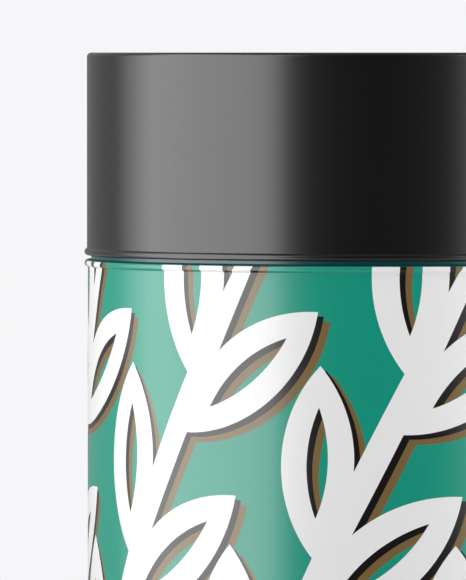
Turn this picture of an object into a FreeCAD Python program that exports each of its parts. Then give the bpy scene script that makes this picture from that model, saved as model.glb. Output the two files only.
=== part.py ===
"""Round candle tin with a slip lid, filled with wax and three wicks.

Millimetres, +Z up, origin at the middle of the base where the tin stands. Every pressed or
rolled sheet piece is drawn as one unbroken path along a face of the sheet, given its gauge on
one side, and turned about the tin's axis.
"""

import FreeCAD, Part
import math
import os
import re
from collections import namedtuple

import Sketcher

Vector = FreeCAD.Vector
doc = FreeCAD.newDocument("candle_tin")

SIZES = {
    # the whole tin
    "tin_height": 127.0,
    "wall_radius": 49.5,
    "gauge": 0.25,
    # lid: a drawn cap with a shallow recess in its top and a rolled bead round its foot
    "lid_height": 34.6,
    "lid_corner": 0.75,
    "recess_radius": 44.4,
    "recess_depth": 0.6,
    "recess_bend": 0.8,
    "hem_clearance": 0.13,
    "hem_bend": 0.3,
    "hem_rise": 0.8,
    # beads: the lid's foot and the body's shoulder mirror each other across a narrow gap
    "bead_gap": 0.6,
    "bead_proud": 0.55,
    "bead_radius": 0.72,
    "bead_blend": 0.35,
    # body: neck that the lid slips over, curled rim, straight wall, hook of the bottom seam
    "neck_radius": 48.9,
    "neck_bend": 0.2,
    "rim_drop": 0.31,
    "curl_radius": 0.9,
    "curl_lip": 0.45,
    "hook_centre": 0.72,
    "hook_bend": 0.155,
    "hook_top": 2.2,
    # weld down the back of the body
    "weld_width": 0.9,
    "weld_depth": 0.1,
    "weld_proud": 0.06,
    "weld_low": 4.0,
    "weld_high": 89.0,
    # base end: recessed panel, ring, and the seam folded round the body's hook
    "seam_radius": 50.4,
    "seam_bend": 0.35,
    "seam_roll": 0.435,
    "seam_roll_height": 2.45,
    "chuck_radius": 48.98,
    "cover_hook_foot": 1.0,
    "ring_radius": 46.4,
    "ring_height": 3.7,
    "ring_bend": 0.45,
    "panel_height": 2.4,
    "panel_bend": 0.5,
    "disc_radius": 39.0,
    "disc_height": 2.8,
    "disc_bend": 0.6,
    # lining compound squeezed into the top of the seam
    "compound_inner": 49.8,
    "compound_outer": 50.13,
    "compound_low": 2.22,
    "compound_high": 2.45,
    # wax
    "wax_top": 100.0,
    "wax_gap": 0.05,
    "wax_floor_gap": 0.03,
    "wax_foot_radius": 45.9,
    "wax_neck_height": 91.0,
    "wax_shoulder_height": 89.9,
    # wicks and what holds them down
    "wick_circle": 23.0,
    "wick_radius": 1.3,
    "wick_foot": 3.9,
    "wick_tip": 106.0,
    "sticker_thickness": 0.8,
    "tab_radius": 10.0,
    "tab_gauge": 0.3,
    "tab_bore": 1.33,
    "tab_bend": 0.5,
    "tab_neck": 7.3,
    "hollow_gap": 0.02,
}
WICK_ANGLES = (90, 210, 330)

sheet = doc.addObject("Spreadsheet::Sheet", "Sizes")
for row, (word, value) in enumerate(SIZES.items(), start=1):
    cell = "A%d" % row
    sheet.set(cell, str(value))
    sheet.setAlias(cell, word)
doc.recompute()


def bound(expression):
    """The expression with each size read from the sheet."""
    return re.sub(r"\b(%s)\b" % "|".join(SIZES), r"Sizes.\1", expression)


def worth(expression):
    """The expression's value in millimetres."""
    return float(sheet.evalExpression(expression))


# --- drawing a section: local X is the radius and local Y the height ------------------------

UPRIGHT = FreeCAD.Placement(Vector(0, 0, 0), FreeCAD.Rotation(Vector(1, 0, 0), 90))
ORIGIN = (-1, 1)
AXIS = -2
CENTRE = 3

# A bend's centre and radius are expressions. A coordinate that starts with "~" is a first guess
# that tangency settles. start and stop are the angles it is entered and left at. A joined bend
# follows the one before it with no straight run between them.
Bend = namedtuple("Bend", "r z radius start stop joined", defaults=(False,))


def dimension(sketch, kind, expression, *place):
    """Adds a dimension bound to the sheet."""
    index = sketch.addConstraint(Sketcher.Constraint(kind, *place, worth(expression)))
    sketch.setExpression("Constraints[%d]" % index, bound(expression))


def new_sketch(name):
    sketch = doc.addObject("Sketcher::SketchObject", name)
    sketch.Placement = UPRIGHT
    return sketch


def draw_bend(sketch, bend):
    """Draws the arc. Returns its entry and exit, each as (point, (curve, end))."""
    centre = Vector(worth(bend.r.lstrip("~ ")), worth(bend.z.lstrip("~ ")), 0)
    radius = worth(bend.radius)
    low, high = sorted((math.radians(bend.start), math.radians(bend.stop)))
    arc = Part.ArcOfCircle(Part.Circle(centre, Vector(0, 0, 1), radius), low, high)
    curve = sketch.addGeometry(arc)
    dimension(sketch, "Radius", bend.radius, curve)
    if not bend.r.startswith("~"):
        dimension(sketch, "DistanceX", bend.r, *ORIGIN, curve, CENTRE)
    if not bend.z.startswith("~"):
        dimension(sketch, "DistanceY", bend.z, *ORIGIN, curve, CENTRE)
    ends = [(arc.StartPoint, (curve, 1)), (arc.EndPoint, (curve, 2))]
    return ends if bend.stop > bend.start else ends[::-1]


def draw_run(sketch, first, last):
    """Draws a straight run and returns its curve number."""
    return sketch.addGeometry(Part.LineSegment(first, last))


def path(name, start, bends, finish):
    """A sheet's path. start is "axis", ("edge", radius) for a flat edge or ("lip", radius) for
    a bend's own free end. finish is the height at which the last upright run ends."""
    sketch = new_sketch(name)
    came_from = None
    for bend in bends:
        (entry, entry_end), leaving = draw_bend(sketch, bend)
        if came_from is None and start[0] == "lip":
            dimension(sketch, "DistanceX", start[1], *ORIGIN, *entry_end)
        elif came_from is None:
            radius = 0 if start == "axis" else worth(start[1])
            run = draw_run(sketch, Vector(radius, entry.y, 0), entry)
            sketch.addConstraint(Sketcher.Constraint("Tangent", run, 2, *entry_end))
            sketch.addConstraint(Sketcher.Constraint("Horizontal", run))
            if start == "axis":
                sketch.addConstraint(Sketcher.Constraint("PointOnObject", run, 1, AXIS))
            else:
                dimension(sketch, "DistanceX", start[1], *ORIGIN, run, 1)
        elif bend.joined:
            sketch.addConstraint(Sketcher.Constraint("Tangent", *came_from[1], *entry_end))
        else:
            run = draw_run(sketch, came_from[0], entry)
            sketch.addConstraint(Sketcher.Constraint("Tangent", *came_from[1], run, 1))
            sketch.addConstraint(Sketcher.Constraint("Tangent", run, 2, *entry_end))
        came_from = leaving
    run = draw_run(sketch, came_from[0], Vector(came_from[0].x, worth(finish), 0))
    sketch.addConstraint(Sketcher.Constraint("Tangent", *came_from[1], run, 1))
    sketch.addConstraint(Sketcher.Constraint("Vertical", run))
    dimension(sketch, "DistanceY", finish, *ORIGIN, run, 2)
    return sketch


def outline(name, corners):
    """A closed outline of straight sides. Corners are (radius, height) expressions."""
    sketch = new_sketch(name)
    points = [Vector(worth(radius), worth(height), 0) for radius, height in corners]
    sides = [draw_run(sketch, *pair) for pair in zip(points, points[1:] + points[:1])]
    for side, following in zip(sides, sides[1:] + sides[:1]):
        sketch.addConstraint(Sketcher.Constraint("Coincident", side, 2, following, 1))
    for side, (radius, height) in zip(sides, corners):
        dimension(sketch, "DistanceY", height, *ORIGIN, side, 1)
        if radius == "0":
            sketch.addConstraint(Sketcher.Constraint("PointOnObject", side, 1, AXIS))
        else:
            dimension(sketch, "DistanceX", radius, *ORIGIN, side, 1)
    return sketch


# --- turning sections into pieces -----------------------------------------------------------

def turned(name, section):
    """The section turned once round its own upright axis."""
    piece = doc.addObject("Part::Revolution", name)
    piece.Source = section
    piece.Axis = Vector(0, 0, 1)
    piece.Base = Vector(0, 0, 0)
    piece.Angle = 360
    piece.Solid = True
    return piece


def thickened(name, section, gauge):
    """The sheet's section: its path with the gauge on the side that the sign gives."""
    wall = doc.addObject("Part::Offset2D", name)
    wall.Source = section
    wall.Mode = "Skin"
    wall.Fill = True
    wall.Value = worth(gauge)
    wall.setExpression("Value", bound(gauge))
    return wall


def cylinder(name, radius, height, foot="0"):
    piece = doc.addObject("Part::Cylinder", name)
    piece.setExpression("Radius", bound(radius))
    piece.setExpression("Height", bound(height))
    piece.setExpression("Placement.Base.z", bound(foot))
    return piece


def cut(name, base, tool):
    piece = doc.addObject("Part::Cut", name)
    piece.Base = base
    piece.Tool = tool
    return piece


def stand_on_wick_circle(piece, angle):
    """Moves a piece made on the tin's axis to its place on the circle of wicks."""
    piece.setExpression("Placement.Base.x", bound("wick_circle * cos(%ddeg)" % angle))
    piece.setExpression("Placement.Base.y", bound("wick_circle * sin(%ddeg)" % angle))


sub_parts = []


def sub_part(piece, label):
    """Marks a finished piece, which is written out under its label."""
    piece.Label = label
    sub_parts.append(piece)
    return piece


# --- lid --------------------------------------------------------------------------------------

LID_FOOT = "tin_height - lid_height"
BEAD_MIDDLE = "wall_radius + bead_proud - bead_radius"
BLEND_MIDDLE = "wall_radius + bead_blend"
BLEND_RISE = "(sqrt(pow(bead_radius + bead_blend; 2) - pow(%s - (%s); 2)))" % (
    BLEND_MIDDLE,
    BEAD_MIDDLE,
)
HEM_FACE = "neck_radius + hem_clearance"


def lid_shell():
    """A deep-drawn cap. The path follows its outside from the middle of the top."""
    section = path(
        "lid_path",
        "axis",
        [
            Bend("recess_radius", "tin_height - recess_depth + recess_bend", "recess_bend", -90, -39),
            Bend(
                "~ recess_radius + 1.5 * recess_bend",
                "tin_height - recess_bend",
                "recess_bend",
                141,
                90,
                joined=True,
            ),
            Bend("wall_radius - lid_corner", "tin_height - lid_corner", "lid_corner", 90, 0),
            Bend(BLEND_MIDDLE, "~ %s + bead_radius + %s" % (LID_FOOT, BLEND_RISE), "bead_blend", 180, 241),
            Bend(BEAD_MIDDLE, "%s + bead_radius" % LID_FOOT, "bead_radius", 61, -90, joined=True),
            Bend(
                "%s + hem_bend" % HEM_FACE,
                "~ %s + hem_bend" % LID_FOOT,
                "hem_bend",
                -90,
                -180,
                joined=True,
            ),
        ],
        "%s + hem_rise" % LID_FOOT,
    )
    return turned("lid_turned", thickened("lid_section", section, "-gauge"))


# --- body -------------------------------------------------------------------------------------

SHOULDER = "tin_height - lid_height - bead_gap"


def body_shell():
    """The printed wall. The path follows its outside from the lip of the rolled rim, down the
    neck, over the shoulder bead and down the wall, to the hook that the base is folded round."""
    section = path(
        "body_path",
        ("lip", "neck_radius - curl_radius + curl_lip"),
        [
            Bend("neck_radius - curl_radius", "tin_height - rim_drop - curl_radius", "curl_radius", 300, 0),
            Bend("neck_radius + neck_bend", "%s + neck_bend" % SHOULDER, "neck_bend", 180, 270),
            Bend(BEAD_MIDDLE, "%s - bead_radius" % SHOULDER, "bead_radius", 90, -61),
            Bend(
                BLEND_MIDDLE,
                "~ %s - bead_radius - %s" % (SHOULDER, BLEND_RISE),
                "bead_blend",
                119,
                180,
                joined=True,
            ),
            Bend("wall_radius + hook_bend", "hook_centre", "hook_bend", 180, 360),
        ],
        "hook_top",
    )
    wall = turned("body_turned", thickened("body_section", section, "gauge"))

    weld_angle = "weld_width / wall_radius * 180deg / pi"
    bar = cylinder("weld_bar", "wall_radius + weld_proud", "weld_high - weld_low", "weld_low")
    bar.setExpression("Angle", bound(weld_angle))
    bar.Placement.Rotation = FreeCAD.Rotation(Vector(0, 0, 1), 90)
    core = cylinder("weld_core", "wall_radius - weld_depth", "weld_high - weld_low", "weld_low")
    shell = doc.addObject("Part::Fuse", "body_welded")
    shell.Base = wall
    shell.Tool = cut("weld_strip", bar, core)
    return shell


# --- base -------------------------------------------------------------------------------------

def base_end():
    """The pressed end. The path follows its underside from the middle: a raised disc, a panel,
    a ring, the chuck wall inside the body, the foot, and the hook folded down over the body's."""
    section = path(
        "base_path",
        "axis",
        [
            Bend("disc_radius", "disc_height - disc_bend", "disc_bend", 90, 42),
            Bend(
                "~ disc_radius + 1.5 * disc_bend",
                "panel_height + disc_bend",
                "disc_bend",
                222,
                270,
                joined=True,
            ),
            Bend("ring_radius - panel_bend", "panel_height + panel_bend", "panel_bend", -90, 0),
            Bend("ring_radius + ring_bend", "ring_height - ring_bend", "ring_bend", 180, 90),
            Bend("chuck_radius - ring_bend", "ring_height - ring_bend", "ring_bend", 90, 0),
            Bend("chuck_radius + seam_bend", "seam_bend", "seam_bend", 180, 270),
            Bend("seam_radius - seam_bend", "seam_bend", "seam_bend", -90, 0),
            Bend("seam_radius - seam_roll", "seam_roll_height", "seam_roll", 0, 180),
        ],
        "cover_hook_foot",
    )
    return turned("base_turned", thickened("base_section", section, "-gauge"))


def seam_compound():
    """A ring of rubbery sealing compound in the fold, above the body's hook."""
    height = "compound_high - compound_low"
    outer = cylinder("compound_disc", "compound_outer", height, "compound_low")
    inner = cylinder("compound_middle", "compound_inner", height, "compound_low")
    return cut("compound_ring", outer, inner)


# --- candle -----------------------------------------------------------------------------------

DISC_TOP = "disc_height + gauge"
TAB_FOOT = "%s + sticker_thickness" % DISC_TOP
TAB_TOP = "%s + tab_gauge" % TAB_FOOT
TAB_NECK_TOP = "%s + tab_neck" % TAB_FOOT
NECK_OUTSIDE = "tab_bore + tab_gauge"


def wick_hollow():
    """The room in the wax for one sticker, tab and wick."""
    return outline(
        "hollow_outline",
        [
            ("0", "disc_height"),
            ("tab_radius + hollow_gap", "disc_height"),
            ("tab_radius + hollow_gap", "%s + hollow_gap" % TAB_TOP),
            ("%s + tab_bend" % NECK_OUTSIDE, "%s + hollow_gap" % TAB_TOP),
            ("%s + hollow_gap" % NECK_OUTSIDE, "%s + tab_bend" % TAB_TOP),
            ("%s + hollow_gap" % NECK_OUTSIDE, "%s + hollow_gap" % TAB_NECK_TOP),
            ("wick_radius + hollow_gap", "%s + hollow_gap" % TAB_NECK_TOP),
            ("wick_radius + hollow_gap", "wick_tip"),
            ("0", "wick_tip"),
        ],
    )


def wax_fill():
    """Wax poured in one go: it fills the body from the base end to below the rim."""
    foot = "%s + wax_floor_gap" % DISC_TOP
    step = "ring_height + gauge + wax_floor_gap"
    wall = "wall_radius - gauge - wax_gap"
    neck = "neck_radius - gauge - wax_gap"
    block = turned(
        "wax_block",
        outline(
            "wax_outline",
            [
                ("0", foot),
                ("wax_foot_radius", foot),
                ("wax_foot_radius", step),
                (wall, step),
                (wall, "wax_shoulder_height"),
                (neck, "wax_neck_height"),
                (neck, "wax_top"),
                ("0", "wax_top"),
            ],
        ),
    )
    section = wick_hollow()
    hollows = doc.addObject("Part::MultiFuse", "wick_hollows")
    shapes = []
    for angle in WICK_ANGLES:
        hollow = turned("hollow_%d" % angle, section)
        stand_on_wick_circle(hollow, angle)
        shapes.append(hollow)
    hollows.Shapes = shapes
    return cut("wax_hollowed", block, hollows)


def tab_section():
    """A pressed tab: a flat disc drawn up into a neck that grips the wick."""
    bend = Bend("tab_bore + tab_bend", "%s + tab_bend" % TAB_FOOT, "tab_bend", 270, 180)
    section = path("tab_path", ("edge", "tab_radius"), [bend], TAB_NECK_TOP)
    return thickened("tab_sheet", section, "tab_gauge")


sub_part(body_shell(), "body_shell")
sub_part(base_end(), "base_end")
sub_part(seam_compound(), "seam_compound")
sub_part(lid_shell(), "lid_shell")
sub_part(wax_fill(), "wax_fill")

pressed_tab = tab_section()
for number, angle in enumerate(WICK_ANGLES, start=1):
    sticker = cylinder("sticker_%d" % number, "tab_radius", "sticker_thickness", DISC_TOP)
    tab = turned("tab_%d" % number, pressed_tab)
    wick = cylinder("wick_cord_%d" % number, "wick_radius", "wick_tip - wick_foot", "wick_foot")
    for piece, label in ((sticker, "wick_sticker"), (tab, "wick_tab"), (wick, "wick")):
        stand_on_wick_circle(piece, angle)
        sub_part(piece, "%s_%d" % (label, number))

# --- check and write ----------------------------------------------------------------------------

doc.recompute()
for thing in doc.Objects:
    faults = [word for word in thing.State if word in ("Invalid", "Error")]
    if faults:
        raise RuntimeError("%s is %s" % (thing.Name, faults))
    if thing.TypeId == "Sketcher::SketchObject" and not thing.FullyConstrained:
        raise RuntimeError("%s isn't fully constrained" % thing.Name)

os.makedirs("parts", exist_ok=True)
for piece in sub_parts:
    shape = piece.Shape
    if shape.isNull() or not shape.isValid() or len(shape.Solids) != 1:
        raise RuntimeError("%s has no single valid solid" % piece.Label)
    shape.exportStep("parts/%s.step" % piece.Label)
    box = shape.optimalBoundingBox()
    print(
        "%-16s %10.1f mm3   z %7.3f to %7.3f   r to %7.3f"
        % (piece.Label, shape.Volume, box.ZMin, box.ZMax, max(box.XMax, -box.XMin))
    )
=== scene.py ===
import math

import bmesh
import bpy
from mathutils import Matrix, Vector


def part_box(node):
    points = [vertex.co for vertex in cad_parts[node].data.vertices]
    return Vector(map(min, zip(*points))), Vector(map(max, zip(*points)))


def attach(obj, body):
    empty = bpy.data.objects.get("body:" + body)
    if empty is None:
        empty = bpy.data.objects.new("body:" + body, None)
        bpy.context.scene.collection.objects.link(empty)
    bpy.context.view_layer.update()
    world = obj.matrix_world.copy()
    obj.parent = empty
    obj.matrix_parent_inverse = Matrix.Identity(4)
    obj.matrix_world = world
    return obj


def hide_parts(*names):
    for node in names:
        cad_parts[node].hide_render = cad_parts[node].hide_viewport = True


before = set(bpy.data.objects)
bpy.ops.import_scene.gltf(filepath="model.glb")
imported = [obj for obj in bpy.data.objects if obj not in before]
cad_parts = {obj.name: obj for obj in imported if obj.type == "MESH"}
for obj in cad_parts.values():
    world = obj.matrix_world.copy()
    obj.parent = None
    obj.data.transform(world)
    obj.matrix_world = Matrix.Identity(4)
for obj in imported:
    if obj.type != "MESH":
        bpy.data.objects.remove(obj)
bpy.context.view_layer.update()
MM = 0.001


# --- base end -------------------------------------------------------------------------------
# The end that the tin stands on: tinplate pressed into a raised disc, a panel and a ring, then
# folded round the foot of the wall into a double seam. It is turned here from one outline of its
# underside, and given the sheet's gauge upwards.

GAUGE = 0.25 * MM
ROUND_STEPS = 256
DISC_RADIUS = 39.0 * MM
DISC_RISE = 0.4 * MM
DISC_BEND = 0.6 * MM
RING_RADIUS = 46.4 * MM
RING_RISE = 1.3 * MM
RING_BEND = 0.45 * MM
PANEL_BEND = 0.5 * MM
CHUCK_INSET = 1.42 * MM
SEAM_BEND = 0.35 * MM
SEAM_FOLD = 0.435 * MM
SEAM_ROLL_HEIGHT = 2.45 * MM
HOOK_FOOT = 1.0 * MM
base_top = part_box("base_end")[1]
seam_radius = base_top.x
chuck_radius = seam_radius - CHUCK_INSET
ring_height = base_top.z - GAUGE
panel_height = ring_height - RING_RISE
disc_height = panel_height + DISC_RISE
disc_turn = math.acos(1 - DISC_RISE / (2 * DISC_BEND))
disc_far = DISC_RADIUS + 2 * DISC_BEND * math.sin(disc_turn)


def deselect():
    bpy.ops.object.select_all(action="DESELECT")


def start_outline(name, x, z):
    """A new piece in edit mode that is one point, at a radius and a height."""
    deselect()
    bpy.ops.mesh.primitive_plane_add(size=MM)
    piece = bpy.context.object
    piece.name = piece.data.name = name
    bpy.ops.object.mode_set(mode="EDIT")
    bpy.ops.mesh.merge(type="CENTER")
    bpy.ops.transform.translate(value=(x, 0, z))
    return piece


def last_point(piece):
    """Where the outline has got to."""
    return next(v.co.copy() for v in bmesh.from_edit_mesh(piece.data).verts if v.select)


def run_to(piece, x, z):
    """Draws the outline on in a straight line. A long run gets a point near each end, which
    keeps it flat in the shading beside a bend."""
    first = last_point(piece)
    whole = (x - first.x, 0, z - first.z)
    length = math.hypot(whole[0], whole[2])
    held = 0.35 * MM / length
    shares = (held, 1 - 2 * held, held) if length > 2 * MM else (1,)
    for share in shares:
        step = [share * part for part in whole]
        bpy.ops.mesh.extrude_vertices_move(TRANSFORM_OT_translate={"value": step})


def bend_round(piece, x, z, degrees, steps=8):
    """Draws the outline on in an arc about a centre, clockwise as seen with +X to the right."""
    bpy.ops.mesh.spin(
        steps=steps, angle=-math.radians(degrees), center=(x, 0, z), axis=(0, 1, 0)
    )


def turn(piece, steps=ROUND_STEPS):
    """Turns the outline once about the tin's axis and closes its seam and poles."""
    bpy.ops.mesh.select_all(action="SELECT")
    bpy.ops.mesh.spin(steps=steps, angle=math.tau, center=(0, 0, 0), axis=(0, 0, 1))
    bpy.ops.mesh.select_all(action="SELECT")
    bpy.ops.mesh.remove_doubles(threshold=0.002 * MM)
    bpy.ops.mesh.normals_make_consistent(inside=False)
    bpy.ops.object.mode_set(mode="OBJECT")


def apply_modifier(piece, kind, **settings):
    """Adds a modifier with its settings and applies it."""
    modifier = piece.modifiers.new(kind.title(), kind)
    for setting, value in settings.items():
        setattr(modifier, setting, value)
    bpy.context.view_layer.objects.active = piece
    bpy.ops.object.modifier_apply(modifier=modifier.name)


def smooth(piece, degrees=35):
    deselect()
    piece.select_set(True)
    bpy.context.view_layer.objects.active = piece
    bpy.ops.object.shade_smooth_by_angle(angle=math.radians(degrees))


def colour(text):
    """The linear colour of an sRGB hex value."""
    parts = [int(text[i : i + 2], 16) / 255 for i in (1, 3, 5)]
    linear = [c / 12.92 if c <= 0.04045 else ((c + 0.055) / 1.055) ** 2.4 for c in parts]
    return (*linear, 1)


def add(tree, kind, inputs=(), **settings):
    """Adds a shader node. inputs maps a socket to a value, or to the node that feeds it."""
    node = tree.nodes.new(kind)
    for setting, value in settings.items():
        setattr(node, setting, value)
    for key, value in dict(inputs).items():
        if isinstance(value, bpy.types.Node):
            value = value.outputs[0]
        if isinstance(value, bpy.types.NodeSocket):
            tree.links.new(value, node.inputs[key])
        else:
            node.inputs[key].default_value = value
    return node


def new_material(name, **surface):
    """A material of one Principled shader with those socket values, and its Object coordinates
    in millimetres."""
    material = bpy.data.materials.new(name)
    material.use_nodes = True
    tree = material.node_tree
    tree.nodes.clear()
    shader = add(tree, "ShaderNodeBsdfPrincipled", surface)
    add(tree, "ShaderNodeOutputMaterial", {"Surface": shader})
    place = add(tree, "ShaderNodeTexCoord").outputs["Object"]
    millimetres = add(
        tree, "ShaderNodeVectorMath", {0: place, "Scale": 1 / MM}, operation="SCALE"
    )
    return material, tree, shader, millimetres


def bright_tinplate():
    """Bright tinplate: cold-rolled steel with a flow-melted tin coat. It has a soft silver
    shine, with fine rolling lines along the sheet and faint clouding in the tin."""
    material, tree, shader, place = new_material(
        "bright_tinplate", Metallic=1.0, **{"Base Color": colour("#cfcfcd")}
    )
    lines = add(
        tree, "ShaderNodeMapping", {"Vector": place, "Scale": (0.05, 6.0, 6.0)}
    )
    rolled = add(
        tree, "ShaderNodeTexNoise", {"Vector": lines, "Scale": 1.0, "Detail": 5.0}
    )
    clouds = add(
        tree, "ShaderNodeTexNoise", {"Vector": place, "Scale": 0.16, "Detail": 4.0}
    )
    shine = add(
        tree,
        "ShaderNodeMath",
        {0: rolled.outputs["Fac"], 1: 0.04, 2: 0.19},
        operation="MULTIPLY_ADD",
    )
    shine = add(
        tree,
        "ShaderNodeMath",
        {0: clouds.outputs["Fac"], 1: 0.04, 2: shine},
        operation="MULTIPLY_ADD",
    )
    tint = add(
        tree,
        "ShaderNodeMix",
        {"Factor": clouds.outputs["Fac"], "A": colour("#d2d2cf"), "B": colour("#c8c9c8")},
        data_type="RGBA",
    )
    bump = add(
        tree,
        "ShaderNodeBump",
        {"Height": rolled.outputs["Fac"], "Strength": 0.06, "Distance": 0.05 * MM},
    )
    tree.links.new(tint.outputs["Result"], shader.inputs["Base Color"])
    tree.links.new(shine.outputs[0], shader.inputs["Roughness"])
    tree.links.new(bump.outputs[0], shader.inputs["Normal"])
    return material


tinplate = bright_tinplate()

base = start_outline("base_end_pressed", 0, disc_height)
run_to(base, DISC_RADIUS, disc_height)
bend_round(base, DISC_RADIUS, disc_height - DISC_BEND, math.degrees(disc_turn))
bend_round(base, disc_far, panel_height + DISC_BEND, -math.degrees(disc_turn))
run_to(base, RING_RADIUS - PANEL_BEND, panel_height)
bend_round(base, RING_RADIUS - PANEL_BEND, panel_height + PANEL_BEND, -90)
run_to(base, RING_RADIUS, ring_height - RING_BEND)
bend_round(base, RING_RADIUS + RING_BEND, ring_height - RING_BEND, 90)
run_to(base, chuck_radius - RING_BEND, ring_height)
bend_round(base, chuck_radius - RING_BEND, ring_height - RING_BEND, 90)
run_to(base, chuck_radius, SEAM_BEND)
bend_round(base, chuck_radius + SEAM_BEND, SEAM_BEND, -90)
run_to(base, seam_radius - SEAM_BEND, 0)
bend_round(base, seam_radius - SEAM_BEND, SEAM_BEND, -90)
run_to(base, seam_radius, SEAM_ROLL_HEIGHT)
bend_round(base, seam_radius - SEAM_FOLD, SEAM_ROLL_HEIGHT, -180, steps=12)
run_to(base, seam_radius - 2 * SEAM_FOLD, HOOK_FOOT)
turn(base)
apply_modifier(base, "SOLIDIFY", thickness=GAUGE, offset=-1, use_even_offset=True)
base.data.materials.append(tinplate)
smooth(base)
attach(base, "tin")
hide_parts("base_end")


# --- lining compound --------------------------------------------------------------------------
# Water-based rubber compound, run into the end's curl as a liquid before seaming. It fills the
# top of the seam, where nothing shows of it.


def rubber_compound():
    """Lining compound: filled synthetic latex. It is dull, beige and slightly grainy."""
    material, tree, shader, place = new_material("latex_lining_compound", Roughness=0.75)
    grain = add(tree, "ShaderNodeTexNoise", {"Vector": place, "Scale": 3.0, "Detail": 3.0})
    tint = add(
        tree,
        "ShaderNodeMix",
        {"Factor": grain.outputs["Fac"], "A": colour("#c2b291"), "B": colour("#ab9a78")},
        data_type="RGBA",
    )
    tree.links.new(tint.outputs["Result"], shader.inputs["Base Color"])
    return material


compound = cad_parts["seam_compound"]
compound.data.materials.clear()
compound.data.materials.append(rubber_compound())


# --- body ---------------------------------------------------------------------------------------
# The wall: a tinplate blank printed flat, rolled round and welded down the back. Its rim is curled
# inwards, its neck is rolled in for the lid, a bead stands out at the shoulder, and its foot is
# hooked into the base's seam.

BEAD = 0.62 * MM
BEAD_PROUD = 0.55 * MM
BLEND = 0.22 * MM
NECK_INSET = 0.6 * MM
NECK_BEND = 0.2 * MM
LID_GAP = 0.67 * MM
CURL = 0.9 * MM
CURL_TURN = 300
HOOK = 0.155 * MM
HOOK_CENTRE = 0.72 * MM
HOOK_TOP = 2.2 * MM
lid_foot, lid_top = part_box("lid_shell")
wall_radius = lid_top.x - BEAD_PROUD
neck_radius = wall_radius - NECK_INSET
shoulder = lid_foot.z - LID_GAP
# The print stops 0.2 mm below the shoulder, so the dark neck coat runs over the bead's top as a
# painted contact shadow under the lid.
print_top = shoulder - NECK_BEND
curl_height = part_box("body_shell")[1].z - CURL
curl_lip = math.radians(360 - CURL_TURN)
bead_centre = wall_radius + BEAD_PROUD - BEAD
blend_centre = wall_radius + BLEND
blend_rise = math.sqrt((BEAD + BLEND) ** 2 - (blend_centre - bead_centre) ** 2)
bead_turn = math.degrees(math.atan2(blend_rise, blend_centre - bead_centre))

# The artwork is made for this tin: leaning vines of open leaves in white, with a dark and then a
# tan drop shade, on a slanted grid that closes on itself round the wall. Millimetres.
PRINT_REPEATS = 8
PRINT_ACROSS = math.tau * wall_radius / MM / PRINT_REPEATS
PRINT_UP = 62.0
PRINT_SLANT = math.radians(27)
PRINT_START = (0.0, 60.0)
SHADES = (((2.1, -1.6), "#755f35"), ((1.0, -0.75), "#0e0506"))
WHITE_INK = "#ebebea"
TEAL_INK = "#03917a"
# A teal coat on the neck, made darker than the ink: painted shade for the gap under the lid.
NECK_COAT_AND_PAINTED_SHADE = "#075659"
BARE_METAL = "#c9c9c4"
BARE_MARGIN = 2.6
# Each blade, the stem first: its middle across and along the stem, its tilt from the stem, its
# length and width, and the length and width of its open slit.
BLADES = (
    ((0.0, 0.0), 0, 84.0, 4.6, None),
    ((8.6, -15.0), 25, 33.0, 13.0, (20.0, 3.8)),
    ((8.4, 19.8), 24, 31.0, 12.4, (18.5, 3.6)),
    ((-8.4, -5.5), -25, 31.0, 12.4, (18.5, 3.6)),
    ((-8.6, 29.3), -26, 33.0, 13.0, (20.0, 3.8)),
)
TIP_RADIUS = 1.2


def to_grid(across, up):
    """A place on the flat print, in grid steps."""
    return (across - up * math.tan(PRINT_SLANT)) / PRINT_ACROSS, up / PRINT_UP


def circle_of(length, width):
    """The radius of the two equal arcs that enclose a blade, and how far each arc's centre
    lies past the blade's middle line."""
    radius = (length**2 + width**2) / (4 * width)
    return radius, radius - width / 2


def blade(tree, grid, middle, tilt, length, width, slit):
    """Nodes for one blade's outline, repeated over the grid: below 0 inside it."""
    across = middle[0] * math.cos(PRINT_SLANT) + middle[1] * math.sin(PRINT_SLANT)
    up = middle[1] * math.cos(PRINT_SLANT) - middle[0] * math.sin(PRINT_SLANT)
    offset = add(
        tree,
        "ShaderNodeVectorMath",
        {0: grid, 1: (*to_grid(across, up), 0)},
        operation="SUBTRACT",
    )
    cell = add(
        tree,
        "ShaderNodeVectorMath",
        {0: offset, 1: (0.5, 0.5, 0.5), 2: (-0.5, -0.5, -0.5)},
        operation="WRAP",
    )
    turned = PRINT_SLANT + math.radians(tilt)
    slope = PRINT_UP * math.tan(PRINT_SLANT)
    sideways = (
        PRINT_ACROSS * math.cos(turned),
        slope * math.cos(turned) - PRINT_UP * math.sin(turned),
        0,
    )
    lengthways = (
        PRINT_ACROSS * math.sin(turned),
        slope * math.sin(turned) + PRINT_UP * math.cos(turned),
        0,
    )
    parts = [
        add(tree, "ShaderNodeVectorMath", {0: cell, 1: row}, operation="DOT_PRODUCT")
        for row in (sideways, lengthways)
    ]
    local = add(
        tree,
        "ShaderNodeCombineXYZ",
        {"X": parts[0].outputs["Value"], "Y": parts[1].outputs["Value"]},
    )
    half = add(tree, "ShaderNodeVectorMath", {0: local}, operation="ABSOLUTE")
    radius, past = circle_of(length - 2 * TIP_RADIUS, width - 2 * TIP_RADIUS)
    outer = add(
        tree, "ShaderNodeVectorMath", {0: half, 1: (-past, 0, 0)}, operation="DISTANCE"
    )
    edge = add(
        tree,
        "ShaderNodeMath",
        {0: outer.outputs["Value"], 1: radius + TIP_RADIUS},
        operation="SUBTRACT",
    )
    if slit is None:
        return edge
    radius, past = circle_of(*slit)
    inner = add(
        tree, "ShaderNodeVectorMath", {0: half, 1: (-past, 0, 0)}, operation="DISTANCE"
    )
    hole = add(
        tree, "ShaderNodeMath", {0: radius, 1: inner.outputs["Value"]}, operation="SUBTRACT"
    )
    return add(tree, "ShaderNodeMath", {0: edge, 1: hole}, operation="MAXIMUM")


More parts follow.
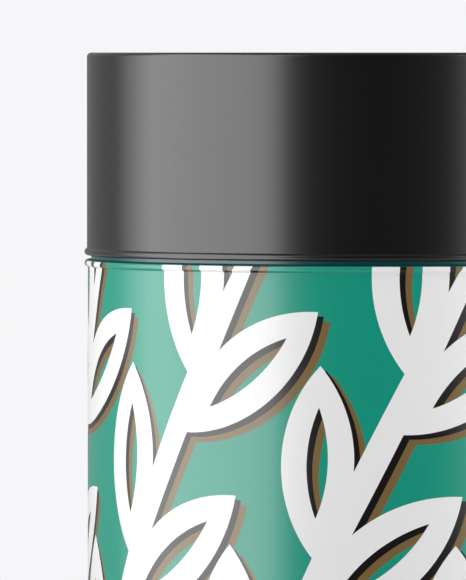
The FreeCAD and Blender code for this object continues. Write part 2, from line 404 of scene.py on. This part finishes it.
def leaning_vines():
    """The artwork's outline as a node group that reads a place in grid steps."""
    tree = bpy.data.node_groups.new("leaning_vines", "ShaderNodeTree")
    tree.interface.new_socket("Grid", in_out="INPUT", socket_type="NodeSocketVector")
    tree.interface.new_socket("Edge", in_out="OUTPUT", socket_type="NodeSocketFloat")
    grid = tree.nodes.new("NodeGroupInput")
    nearest = None
    for shape in BLADES:
        edge = blade(tree, grid, *shape)
        nearest = (
            add(tree, "ShaderNodeMath", {0: nearest, 1: edge}, operation="MINIMUM")
            if nearest
            else edge
        )
    add(tree, "NodeGroupOutput", {"Edge": nearest})
    return tree


def printed_tinplate():
    """Offset-printed tinplate: flat inks on a white size coat, stoved under a satin varnish.
    The colour is even, with a faint tooth in the ink, and the varnish has a soft, broad shine.
    A bare margin of metal is left beside the weld."""
    material, tree, shader, place = new_material(
        "offset_printed_tinplate", IOR=1.5, **{"Specular IOR Level": 1.0}
    )
    parts = add(tree, "ShaderNodeSeparateXYZ", {0: place})
    backwards = add(
        tree, "ShaderNodeMath", {0: parts.outputs["Y"], 1: -1.0}, operation="MULTIPLY"
    )
    angle = add(
        tree,
        "ShaderNodeMath",
        {0: parts.outputs["X"], 1: backwards},
        operation="ARCTAN2",
    )
    around = add(
        tree, "ShaderNodeMath", {0: angle, 1: wall_radius / MM}, operation="MULTIPLY"
    )
    flat = add(
        tree, "ShaderNodeCombineXYZ", {"X": around, "Y": parts.outputs["Z"]}
    )
    rows = (
        (1 / PRINT_ACROSS, -math.tan(PRINT_SLANT) / PRINT_ACROSS, 0),
        (0, 1 / PRINT_UP, 0),
    )
    steps = [
        add(tree, "ShaderNodeVectorMath", {0: flat, 1: row}, operation="DOT_PRODUCT")
        for row in rows
    ]
    grid = add(
        tree,
        "ShaderNodeCombineXYZ",
        {"X": steps[0].outputs["Value"], "Y": steps[1].outputs["Value"]},
    )
    vines = leaning_vines()
    inks = colour(TEAL_INK)
    for shift, ink in (*SHADES, ((0, 0), WHITE_INK)):
        start = to_grid(PRINT_START[0] + shift[0], PRINT_START[1] + shift[1])
        shifted = add(
            tree, "ShaderNodeVectorMath", {0: grid, 1: (*start, 0)}, operation="SUBTRACT"
        )
        layer = add(tree, "ShaderNodeGroup", {}, node_tree=vines)
        tree.links.new(shifted.outputs[0], layer.inputs[0])
        inside = add(tree, "ShaderNodeMath", {0: layer, 1: 0.0}, operation="LESS_THAN")
        mixed = add(
            tree,
            "ShaderNodeMix",
            {"Factor": inside, "A": inks, "B": colour(ink)},
            data_type="RGBA",
        )
        inks = mixed.outputs["Result"]
    # Above the print's top the wall takes the neck coat, whose dark tone is painted shade in the gap
    # under the lid and a painted contact shadow along the bead's top.
    above = add(
        tree,
        "ShaderNodeMath",
        {0: parts.outputs["Z"], 1: print_top / MM},
        operation="GREATER_THAN",
    )
    coat = add(
        tree,
        "ShaderNodeMix",
        {"Factor": above, "A": inks, "B": colour(NECK_COAT_AND_PAINTED_SHADE)},
        data_type="RGBA",
    )
    weld_distance = add(tree, "ShaderNodeMath", {0: parts.outputs["X"]}, operation="ABSOLUTE")
    beside_weld = add(
        tree,
        "ShaderNodeMath",
        {0: weld_distance, 1: BARE_MARGIN},
        operation="LESS_THAN",
    )
    behind = add(
        tree, "ShaderNodeMath", {0: parts.outputs["Y"], 1: 0.0}, operation="GREATER_THAN"
    )
    bare = add(
        tree, "ShaderNodeMath", {0: beside_weld, 1: behind}, operation="MULTIPLY"
    )
    tooth = add(tree, "ShaderNodeTexNoise", {"Vector": place, "Scale": 0.9, "Detail": 1.0})
    metal = add(
        tree,
        "ShaderNodeMix",
        {"Factor": bare, "A": coat.outputs["Result"], "B": colour(BARE_METAL)},
        data_type="RGBA",
    )
    shine = add(
        tree,
        "ShaderNodeMath",
        {0: tooth.outputs["Fac"], 1: 0.012, 2: 0.258},
        operation="MULTIPLY_ADD",
    )
    bump = add(
        tree,
        "ShaderNodeBump",
        {"Height": tooth.outputs["Fac"], "Strength": 0.05, "Distance": 0.01 * MM},
    )
    tree.links.new(metal.outputs["Result"], shader.inputs["Base Color"])
    tree.links.new(bare.outputs[0], shader.inputs["Metallic"])
    tree.links.new(shine.outputs[0], shader.inputs["Roughness"])
    tree.links.new(bump.outputs[0], shader.inputs["Normal"])
    return material


body = start_outline(
    "body_wall",
    neck_radius - CURL + CURL * math.cos(curl_lip),
    curl_height - CURL * math.sin(curl_lip),
)
bend_round(body, neck_radius - CURL, curl_height, CURL_TURN, steps=24)
run_to(body, neck_radius, shoulder + NECK_BEND)
bend_round(body, neck_radius + NECK_BEND, shoulder + NECK_BEND, -90)
run_to(body, bead_centre, shoulder)
bend_round(body, bead_centre, shoulder - BEAD, 90 + bead_turn, steps=14)
bend_round(body, blend_centre, shoulder - BEAD - blend_rise, -bead_turn)
run_to(body, wall_radius, HOOK_CENTRE)
bend_round(body, wall_radius + HOOK, HOOK_CENTRE, -180, steps=10)
run_to(body, wall_radius + 2 * HOOK, HOOK_TOP)
turn(body)
body.data.materials.append(printed_tinplate())
body.data.materials.append(tinplate)
# The print stops at the rim. The curl, from there on inwards, is bare.
for face in body.data.polygons:
    inwards = neck_radius - face.center.xy.length
    bare = 0.02 * MM if face.center.z > curl_height else 0.5 * MM
    face.material_index = 1 if inwards > bare else 0
apply_modifier(
    body,
    "SOLIDIFY",
    thickness=GAUGE,
    offset=-1,
    use_even_offset=True,
    material_offset=1,
    material_offset_rim=1,
)
smooth(body)
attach(body, "tin")
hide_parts("body_shell")


# --- weld ---------------------------------------------------------------------------------------
# The two edges of the rolled blank, lapped and resistance-welded down the back. What shows is a
# narrow raised line of small nuggets, left bare between the two margins of the print.

WELD_WIDTH = 0.9 * MM
WELD_PROUD = 0.06 * MM
WELD_SUNK = 0.02 * MM
WELD_EDGE = 0.03 * MM
WELD_LOW, WELD_HIGH = 4 * MM, 89 * MM
weld_angle = WELD_WIDTH / wall_radius


def weld_line():
    """Resistance-welded tinplate: the tin is driven off, so the steel is grey and satin, with
    a ripple for each nugget, drawn at 0.6 mm."""
    material, tree, shader, place = new_material("resistance_weld", Metallic=1.0)
    ripple = add(
        tree,
        "ShaderNodeTexWave",
        {"Vector": place, "Scale": 1 / 0.6, "Distortion": 1.2, "Detail": 2.0},
        bands_direction="Z",
    )
    tint = add(
        tree,
        "ShaderNodeMix",
        {"Factor": ripple.outputs["Fac"], "A": colour("#7d7c78"), "B": colour("#a3a19b")},
        data_type="RGBA",
    )
    shine = add(
        tree,
        "ShaderNodeMath",
        {0: ripple.outputs["Fac"], 1: 0.12, 2: 0.36},
        operation="MULTIPLY_ADD",
    )
    bump = add(
        tree,
        "ShaderNodeBump",
        {"Height": ripple.outputs["Fac"], "Strength": 0.5, "Distance": 0.03 * MM},
    )
    tree.links.new(tint.outputs["Result"], shader.inputs["Base Color"])
    tree.links.new(shine.outputs[0], shader.inputs["Roughness"])
    tree.links.new(bump.outputs[0], shader.inputs["Normal"])
    return material


weld = start_outline("body_weld", wall_radius - WELD_SUNK, WELD_LOW)
run_to(weld, wall_radius - WELD_SUNK, WELD_HIGH)
bpy.ops.mesh.select_all(action="SELECT")
bpy.ops.mesh.spin(steps=6, angle=weld_angle, center=(0, 0, 0), axis=(0, 0, 1))
bpy.ops.object.mode_set(mode="OBJECT")
weld.rotation_euler.z = (math.pi + weld_angle) / 2
bpy.ops.object.transform_apply(rotation=True)
apply_modifier(weld, "SOLIDIFY", thickness=WELD_PROUD + WELD_SUNK, offset=1)
apply_modifier(weld, "BEVEL", width=WELD_EDGE, segments=3, limit_method="ANGLE")
weld.data.materials.append(weld_line())
smooth(weld)
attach(weld, "tin")


# --- wax ------------------------------------------------------------------------------------------
# Soy and paraffin container wax, poured hot to below the neck's rim. As it sets it creeps up the
# wall and the wicks, and its top sinks a little in the middle.

WAX_GAP = 0.05 * MM
WAX_FLOOR_GAP = 0.03 * MM
NECK_WAX_END = 0.8 * MM
WALL_WAX_START = 1.9 * MM
wax_foot, wax_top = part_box("wax_fill")
wax_radius = wax_top.x
wax_floor = base_top.z + WAX_FLOOR_GAP
neck_bore = neck_radius - GAUGE - WAX_GAP
CREEP_UP_WALL = 1.1 * MM
CREEP_REACH = 1.3 * MM
CREEP_UP_WICK = 1.2 * MM
WICK_CREEP_REACH = 0.9 * MM
SINK = 0.35 * MM
NEAR_WICKS = 4.5 * MM
NEAR_WALL = 5 * MM
FINE_STEP, COARSE_STEP = 0.4 * MM, 1.5 * MM
wicks = [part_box("wick_%d" % number) for number in (1, 2, 3)]
wick_places = [((low + high) / 2).xy for low, high in wicks]
wick_radius = (wicks[0][1].x - wicks[0][0].x) / 2


def container_wax():
    """Soy and paraffin blend: creamy and translucent, with light sinking into it. Its top is
    satin, faintly mottled with frosting, and has fine pits."""
    material, tree, shader, place = new_material(
        "soy_paraffin_wax",
        IOR=1.44,
        **{"Subsurface Weight": 0.6, "Subsurface Scale": 0.004},
    )
    shader.inputs["Subsurface Radius"].default_value = (1.0, 0.7, 0.45)
    frost = add(
        tree,
        "ShaderNodeTexNoise",
        {"Vector": place, "Scale": 0.22, "Detail": 6.0, "Roughness": 0.62},
    )
    grain = add(tree, "ShaderNodeTexNoise", {"Vector": place, "Scale": 1.6, "Detail": 4.0})
    tint = add(
        tree,
        "ShaderNodeMix",
        {"Factor": frost.outputs["Fac"], "A": colour("#f0e4c6"), "B": colour("#f8f0dc")},
        data_type="RGBA",
    )
    shine = add(
        tree,
        "ShaderNodeMath",
        {0: frost.outputs["Fac"], 1: 0.25, 2: 0.29},
        operation="MULTIPLY_ADD",
    )
    surface = add(
        tree,
        "ShaderNodeMath",
        {0: grain.outputs["Fac"], 1: 0.35, 2: frost.outputs["Fac"]},
        operation="MULTIPLY_ADD",
    )
    bump = add(
        tree, "ShaderNodeBump", {"Height": surface, "Strength": 0.25, "Distance": 0.35 * MM}
    )
    tree.links.new(tint.outputs["Result"], shader.inputs["Base Color"])
    tree.links.new(shine.outputs[0], shader.inputs["Roughness"])
    tree.links.new(bump.outputs[0], shader.inputs["Normal"])
    return material


def wax_level(radius):
    """The height of the set wax, without the wicks' own creep."""
    sunk = SINK * math.cos(math.pi / 2 * radius / neck_bore)
    return wax_top.z - sunk + CREEP_UP_WALL * math.exp((radius - neck_bore) / CREEP_REACH)


wax = start_outline("wax_poured", 0, wax_level(0))
ring = 0.0
while ring < neck_bore - WAX_GAP:
    near_wicks = abs(ring - wick_places[0].length) < NEAR_WICKS
    near_wall = ring > neck_bore - NEAR_WALL
    ring = min(ring + (FINE_STEP if near_wicks or near_wall else COARSE_STEP), neck_bore)
    run_to(wax, ring, wax_level(ring))
run_to(wax, neck_bore, shoulder - NECK_WAX_END)
run_to(wax, wax_radius, shoulder - WALL_WAX_START)
run_to(wax, wax_radius, wax_floor)
run_to(wax, RING_RADIUS - PANEL_BEND, wax_floor)
run_to(wax, RING_RADIUS - PANEL_BEND, wax_foot.z)
run_to(wax, 0, wax_foot.z)
turn(wax)
for vertex in wax.data.vertices:
    if vertex.co.z < wax_top.z - 2 * MM:
        continue
    for place in wick_places:
        away = max((vertex.co.xy - place).length - wick_radius, 0)
        vertex.co.z += CREEP_UP_WICK * math.exp(-away / WICK_CREEP_REACH)
wax.data.materials.append(container_wax())
smooth(wax)
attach(wax, "tin")
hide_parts("wax_fill")


# --- wicks --------------------------------------------------------------------------------------
# Cotton wicks, braided round a thin core, primed with wax so that they stand up, and cut square.
# Eight strands, four each way, pass over and under one another. One wick is braided on the axis
# and copied to its three places.

STRAND = 0.38 * MM
STRAND_SPREAD = 1.35
STRAND_CIRCLE = 0.82 * MM
STRAND_DIP = 0.10 * MM
BRAID_LEAD = 7.0 * MM
BRAID_CORE = 0.78 * MM
RING_POINTS = 8
STEPS_PER_TURN = 24
TRIM = 0.5 * MM
UNEVEN = 0.03 * MM
CORE_SHORT = 8 * UNEVEN
wick_foot, wick_tip = wicks[0][0].z, wicks[0][1].z
braid_height = wick_tip - wick_foot + 2 * TRIM
braid_turns = braid_height / BRAID_LEAD


def primed_cotton():
    """Braided cotton, primed with wax: off-white, soft, with fibres along each strand."""
    material, tree, shader, place = new_material(
        "waxed_cotton_braid", Roughness=0.7, **{"Sheen Weight": 0.25}
    )
    fibres = add(tree, "ShaderNodeMapping", {"Vector": place, "Scale": (6.0, 6.0, 1.2)})
    fuzz = add(tree, "ShaderNodeTexNoise", {"Vector": fibres, "Scale": 1.0, "Detail": 4.0})
    tint = add(
        tree,
        "ShaderNodeMix",
        {"Factor": fuzz.outputs["Fac"], "A": colour("#cdbf9f"), "B": colour("#f2ead6")},
        data_type="RGBA",
    )
    bump = add(
        tree,
        "ShaderNodeBump",
        {"Height": fuzz.outputs["Fac"], "Strength": 0.5, "Distance": 0.08 * MM},
    )
    tree.links.new(tint.outputs["Result"], shader.inputs["Base Color"])
    tree.links.new(bump.outputs[0], shader.inputs["Normal"])
    return material


def strand(start_angle, turns, short):
    """One strand: a ring of points, laid square to its way, screwed up the axis and closed.
    It dips under every second strand that it crosses, and is cut short by a hair of its own,
    so that no two cut faces lie in one plane."""
    lean = math.atan(math.tau * STRAND_CIRCLE * turns / braid_height)
    deselect()
    bpy.ops.mesh.primitive_circle_add(
        vertices=RING_POINTS,
        radius=STRAND,
        location=(STRAND_CIRCLE, 0, wick_foot - TRIM),
        rotation=(-lean, 0, 0),
        scale=(1, STRAND_SPREAD, 1),
    )
    made = bpy.context.object
    bpy.ops.object.transform_apply()
    steps = round(abs(turns) * STEPS_PER_TURN)
    apply_modifier(
        made,
        "SCREW",
        angle=math.tau * turns,
        screw_offset=braid_height,
        steps=steps,
        render_steps=steps,
        iterations=1,
        use_merge_vertices=False,
    )
    points = made.data.vertices
    for first in range(0, len(points), RING_POINTS):
        ring_points = [points[first + number] for number in range(RING_POINTS)]
        middle = sum((point.co for point in ring_points), start=Vector()) / RING_POINTS
        crossing = 4 * math.tau * (middle.z - wick_foot + TRIM) / BRAID_LEAD
        outwards = math.copysign(STRAND_DIP, turns) * math.sin(crossing)
        for point in ring_points:
            point.co.xy += outwards * middle.xy.normalized()
    bpy.ops.object.mode_set(mode="EDIT")
    bpy.ops.mesh.select_all(action="SELECT")
    bpy.ops.mesh.fill_holes(sides=0)
    bpy.ops.mesh.select_all(action="SELECT")
    bpy.ops.mesh.normals_make_consistent(inside=False)
    for height, up in ((wick_tip - short, 1), (wick_foot + short, -1)):
        bpy.ops.mesh.select_all(action="SELECT")
        bpy.ops.mesh.bisect(
            plane_co=(0, 0, height),
            plane_no=(0, 0, up),
            use_fill=True,
            clear_outer=True,
            threshold=0.001 * MM,
        )
    bpy.ops.object.mode_set(mode="OBJECT")
    made.rotation_euler.z = start_angle
    bpy.ops.object.transform_apply(rotation=True)
    return made


deselect()
bpy.ops.mesh.primitive_cylinder_add(
    vertices=16,
    radius=BRAID_CORE,
    depth=wick_tip - wick_foot - 2 * CORE_SHORT,
    location=(0, 0, (wick_tip + wick_foot) / 2),
)
braid = bpy.context.object
bpy.ops.object.transform_apply()
strands = [
    strand(
        math.radians(90 * quarter + 45 * crossed),
        -braid_turns if crossed else braid_turns,
        (2 * quarter + crossed) * UNEVEN,
    )
    for crossed in (0, 1)
    for quarter in range(4)
]
deselect()
for piece in (braid, *strands):
    piece.select_set(True)
bpy.context.view_layer.objects.active = braid
bpy.ops.object.join()
braid.data.materials.append(primed_cotton())
smooth(braid, 50)
for number, place in enumerate(wick_places, start=1):
    wick = braid.copy()
    wick.data = braid.data.copy()
    wick.name = wick.data.name = "wick_braid_%d" % number
    bpy.context.scene.collection.objects.link(wick)
    deselect()
    wick.select_set(True)
    wick.location.xy = place
    bpy.ops.object.transform_apply(location=True)
    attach(wick, "tin")
    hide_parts("wick_%d" % number)
bpy.data.objects.remove(braid)


# --- wick tabs and stickers ------------------------------------------------------------------------
# Under the wax, a pressed steel tab is crimped on the foot of each wick, and a foam sticker with
# glue on both faces holds the tab to the base. They keep their plain pressed shapes.


def pressed_steel():
    """Tin-plated steel strip, blanked and drawn: silver, with the strip's fine grain."""
    material, tree, shader, place = new_material("tin_plated_strip", Metallic=1.0)
    grain = add(tree, "ShaderNodeMapping", {"Vector": place, "Scale": (0.4, 8.0, 8.0)})
    lines = add(tree, "ShaderNodeTexNoise", {"Vector": grain, "Scale": 1.0, "Detail": 3.0})
    tint = add(
        tree,
        "ShaderNodeMix",
        {"Factor": lines.outputs["Fac"], "A": colour("#bdbdba"), "B": colour("#d8d8d4")},
        data_type="RGBA",
    )
    shine = add(
        tree,
        "ShaderNodeMath",
        {0: lines.outputs["Fac"], 1: 0.12, 2: 0.28},
        operation="MULTIPLY_ADD",
    )
    tree.links.new(tint.outputs["Result"], shader.inputs["Base Color"])
    tree.links.new(shine.outputs[0], shader.inputs["Roughness"])
    return material


def foam_sticker():
    """Closed-cell polyethylene foam: matt white, with cells of about 0.3 mm at its edge."""
    material, tree, shader, place = new_material("polyethylene_foam", Roughness=0.85)
    cells = add(tree, "ShaderNodeTexVoronoi", {"Vector": place, "Scale": 1 / 0.3})
    tint = add(
        tree,
        "ShaderNodeMix",
        {"Factor": cells.outputs["Distance"], "A": colour("#f4f4f1"), "B": colour("#dcdcd8")},
        data_type="RGBA",
    )
    bump = add(
        tree,
        "ShaderNodeBump",
        {"Height": cells.outputs["Distance"], "Strength": 0.4, "Distance": 0.05 * MM},
    )
    tree.links.new(tint.outputs["Result"], shader.inputs["Base Color"])
    tree.links.new(bump.outputs[0], shader.inputs["Normal"])
    return material


tab_steel, sticker_foam = pressed_steel(), foam_sticker()
for number in (1, 2, 3):
    for label, material in (("wick_tab", tab_steel), ("wick_sticker", sticker_foam)):
        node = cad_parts["%s_%d" % (label, number)]
        node.data.materials.clear()
        node.data.materials.append(material)


# --- lid ------------------------------------------------------------------------------------------
# The slip lid: enamelled tinplate, deep-drawn in one piece, with a shallow recess in its top. Its
# foot is rolled outwards into a bead and its raw edge is turned up inside, where it meets the neck.

LID_CORNER = 0.75 * MM
RECESS = 0.6 * MM
RECESS_BEND = 0.8 * MM
RECESS_INSET = 5.1 * MM
LID_PROUD = 0.12 * MM
SLIP = 0.13 * MM
HEM_RISE = 0.8 * MM
lid_radius = wall_radius + LID_PROUD
lid_bead_centre = lid_top.x - BEAD
lid_blend_centre = lid_radius + BLEND
lid_blend_rise = math.sqrt((BEAD + BLEND) ** 2 - (lid_blend_centre - lid_bead_centre) ** 2)
lid_bead_turn = math.degrees(math.atan2(lid_blend_rise, lid_blend_centre - lid_bead_centre))
recess_radius = wall_radius - RECESS_INSET
recess_angle = math.acos(1 - RECESS / (2 * RECESS_BEND))
recess_far = recess_radius + 2 * RECESS_BEND * math.sin(recess_angle)
hem_face = neck_radius + SLIP
hem_bend = lid_bead_centre - hem_face


def black_enamel():
    """Stoved satin enamel on tinplate: near-black and smooth, with a broad, soft shine and the
    faintest orange peel, drawn at 0.7 mm."""
    material, tree, shader, place = new_material(
        "satin_black_enamel",
        IOR=1.5,
        **{"Specular IOR Level": 1.0, "Base Color": colour("#080809")},
    )
    peel = add(tree, "ShaderNodeTexNoise", {"Vector": place, "Scale": 1 / 0.7, "Detail": 1.0})
    drift = add(tree, "ShaderNodeTexNoise", {"Vector": place, "Scale": 0.08, "Detail": 2.0})
    shine = add(
        tree,
        "ShaderNodeMath",
        {0: drift.outputs["Fac"], 1: 0.012, 2: 0.258},
        operation="MULTIPLY_ADD",
    )
    bump = add(
        tree,
        "ShaderNodeBump",
        {"Height": peel.outputs["Fac"], "Strength": 0.05, "Distance": 0.01 * MM},
    )
    tree.links.new(shine.outputs[0], shader.inputs["Roughness"])
    tree.links.new(bump.outputs[0], shader.inputs["Normal"])
    return material


lid = start_outline("lid_drawn", 0, lid_top.z - RECESS)
run_to(lid, recess_radius, lid_top.z - RECESS)
bend_round(lid, recess_radius, lid_top.z - RECESS + RECESS_BEND, -math.degrees(recess_angle))
bend_round(lid, recess_far, lid_top.z - RECESS_BEND, math.degrees(recess_angle))
run_to(lid, lid_radius - LID_CORNER, lid_top.z)
bend_round(lid, lid_radius - LID_CORNER, lid_top.z - LID_CORNER, 90, steps=12)
run_to(lid, lid_radius, lid_foot.z + BEAD + lid_blend_rise)
bend_round(lid, lid_blend_centre, lid_foot.z + BEAD + lid_blend_rise, -lid_bead_turn)
bend_round(lid, lid_bead_centre, lid_foot.z + BEAD, 90 + lid_bead_turn, steps=14)
bend_round(lid, lid_bead_centre, lid_foot.z + hem_bend, 90)
run_to(lid, hem_face, lid_foot.z + HEM_RISE)
turn(lid)
lid.data.materials.append(black_enamel())
lid.data.materials.append(tinplate)
apply_modifier(
    lid,
    "SOLIDIFY",
    thickness=GAUGE,
    offset=-1,
    use_even_offset=True,
    material_offset=1,
    material_offset_rim=1,
)
smooth(lid)
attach(lid, "lid")
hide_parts("lid_shell")


# --- studio ---------------------------------------------------------------------------------------
# A pale floor that fades into a pale surround, a tall softbox on either side, a narrow strip
# behind the left one, and a fill overhead that the gloss doesn't show.

SURROUND = "#f6f6f8"
FLOOR_RADIUS = 0.55
FLOOR_DROP = 0.02 * MM


def pale_floor():
    """Matt pale paper, which fades out towards its rim."""
    material = bpy.data.materials.new("pale_paper_sweep")
    material.use_nodes = True
    tree = material.node_tree
    tree.nodes.clear()
    place = add(tree, "ShaderNodeTexCoord").outputs["Object"]
    away = add(tree, "ShaderNodeVectorMath", {0: place}, operation="LENGTH")
    fade = add(
        tree,
        "ShaderNodeMapRange",
        {
            "Value": away.outputs["Value"],
            "From Min": 0.15 * FLOOR_RADIUS,
            "From Max": 0.8 * FLOOR_RADIUS,
            "To Min": 1.0,
            "To Max": 0.0,
        },
        interpolation_type="SMOOTHSTEP",
    )
    matt = add(tree, "ShaderNodeBsdfDiffuse", {"Color": colour("#dedee0")})
    haze = add(tree, "ShaderNodeEmission", {"Color": colour(SURROUND), "Strength": 0.1})
    matt = add(tree, "ShaderNodeAddShader", {0: matt, 1: haze})
    clear = add(tree, "ShaderNodeBsdfTransparent")
    mixed = add(tree, "ShaderNodeMixShader", {0: fade, 1: clear, 2: matt})
    add(tree, "ShaderNodeOutputMaterial", {"Surface": mixed})
    return material


deselect()
bpy.ops.mesh.primitive_circle_add(vertices=96, radius=FLOOR_RADIUS, fill_type="NGON")
floor = bpy.context.object
floor.name = "floor"
floor.location.z = -FLOOR_DROP
floor.visible_glossy = False
floor.data.materials.append(pale_floor())

world = bpy.data.worlds.new("studio")
bpy.context.scene.world = world
world.use_nodes = True
tree = world.node_tree
tree.nodes.clear()
seen = add(tree, "ShaderNodeLightPath").outputs["Is Camera Ray"]
direction = add(tree, "ShaderNodeTexCoord").outputs["Generated"]
depth = add(
    tree, "ShaderNodeVectorMath", {0: direction, 1: (0, 0.8, 0.6)}, operation="DOT_PRODUCT"
).outputs["Value"]
glow = add(
    tree,
    "ShaderNodeMapRange",
    {"Value": depth, "From Min": -0.2, "From Max": 0.9, "To Min": 0.02, "To Max": 0.38},
)
height = add(tree, "ShaderNodeSeparateXYZ", {0: direction}).outputs["Z"]
below = add(
    tree,
    "ShaderNodeMapRange",
    {"Value": height, "From Min": -0.05, "From Max": -0.4, "To Min": 0.0, "To Max": 0.25},
)
glow = add(tree, "ShaderNodeMath", {0: glow, 1: below}, operation="ADD")
surround = add(tree, "ShaderNodeBackground", {"Color": colour(SURROUND), "Strength": 1.0})
bounce = add(tree, "ShaderNodeBackground", {"Color": (1, 1, 1, 1), "Strength": glow})
lit = add(tree, "ShaderNodeMixShader", {0: seen, 1: bounce, 2: surround})
add(tree, "ShaderNodeOutputWorld", {"Surface": lit})


def softbox(name, azimuth, elevation, away, width, height, radiance, glossy=True):
    """A rectangular light that faces the tin. Azimuth 0 is the front and 90 the right."""
    turn_angle, lift = math.radians(azimuth), math.radians(elevation)
    data = bpy.data.lights.new(name, "AREA")
    data.shape = "RECTANGLE"
    data.size, data.size_y = width, height
    data.energy = radiance * math.pi * width * height
    light = bpy.data.objects.new(name, data)
    light.location = (
        away * math.sin(turn_angle) * math.cos(lift),
        -away * math.cos(turn_angle) * math.cos(lift),
        away * math.sin(lift) + lid_top.z / 2,
    )
    light.rotation_euler = (math.pi / 2 - lift, 0, turn_angle)
    light.visible_camera = False
    light.visible_glossy = glossy
    bpy.context.scene.collection.objects.link(light)


softbox("left_softbox", -71.5, 0, 1.15, 1.54, 2.7, 2.62)
softbox("left_strip", -111, 0, 1.15, 0.24, 2.7, 1.1)
softbox("right_softbox", 73.5, 0, 1.15, 1.58, 2.7, 2.62)
softbox("overhead_fill", 0, 80, 1.3, 1.6, 1.6, 0.6, glossy=False)


# --- camera ---------------------------------------------------------------------------------------
# A long lens, level with the top of the lid and turned towards the tin's upper left. It looks a
# little down, and frames only part of the tin.

SENSOR = 36.0
LENS = 552.6
CAMERA_AWAY = 1.523
DOWN = math.radians(1.528)
LEFT = math.radians(0.927)

camera_data = bpy.data.cameras.new("camera")
camera_data.sensor_width = SENSOR
camera_data.lens = LENS
camera = bpy.data.objects.new("camera", camera_data)
camera.location = (0, -CAMERA_AWAY, lid_top.z)
camera.rotation_euler = (math.pi / 2 - DOWN, 0, LEFT)
bpy.context.scene.collection.objects.link(camera)
bpy.context.scene.camera = camera
bpy.context.scene.view_settings.view_transform = "Standard"
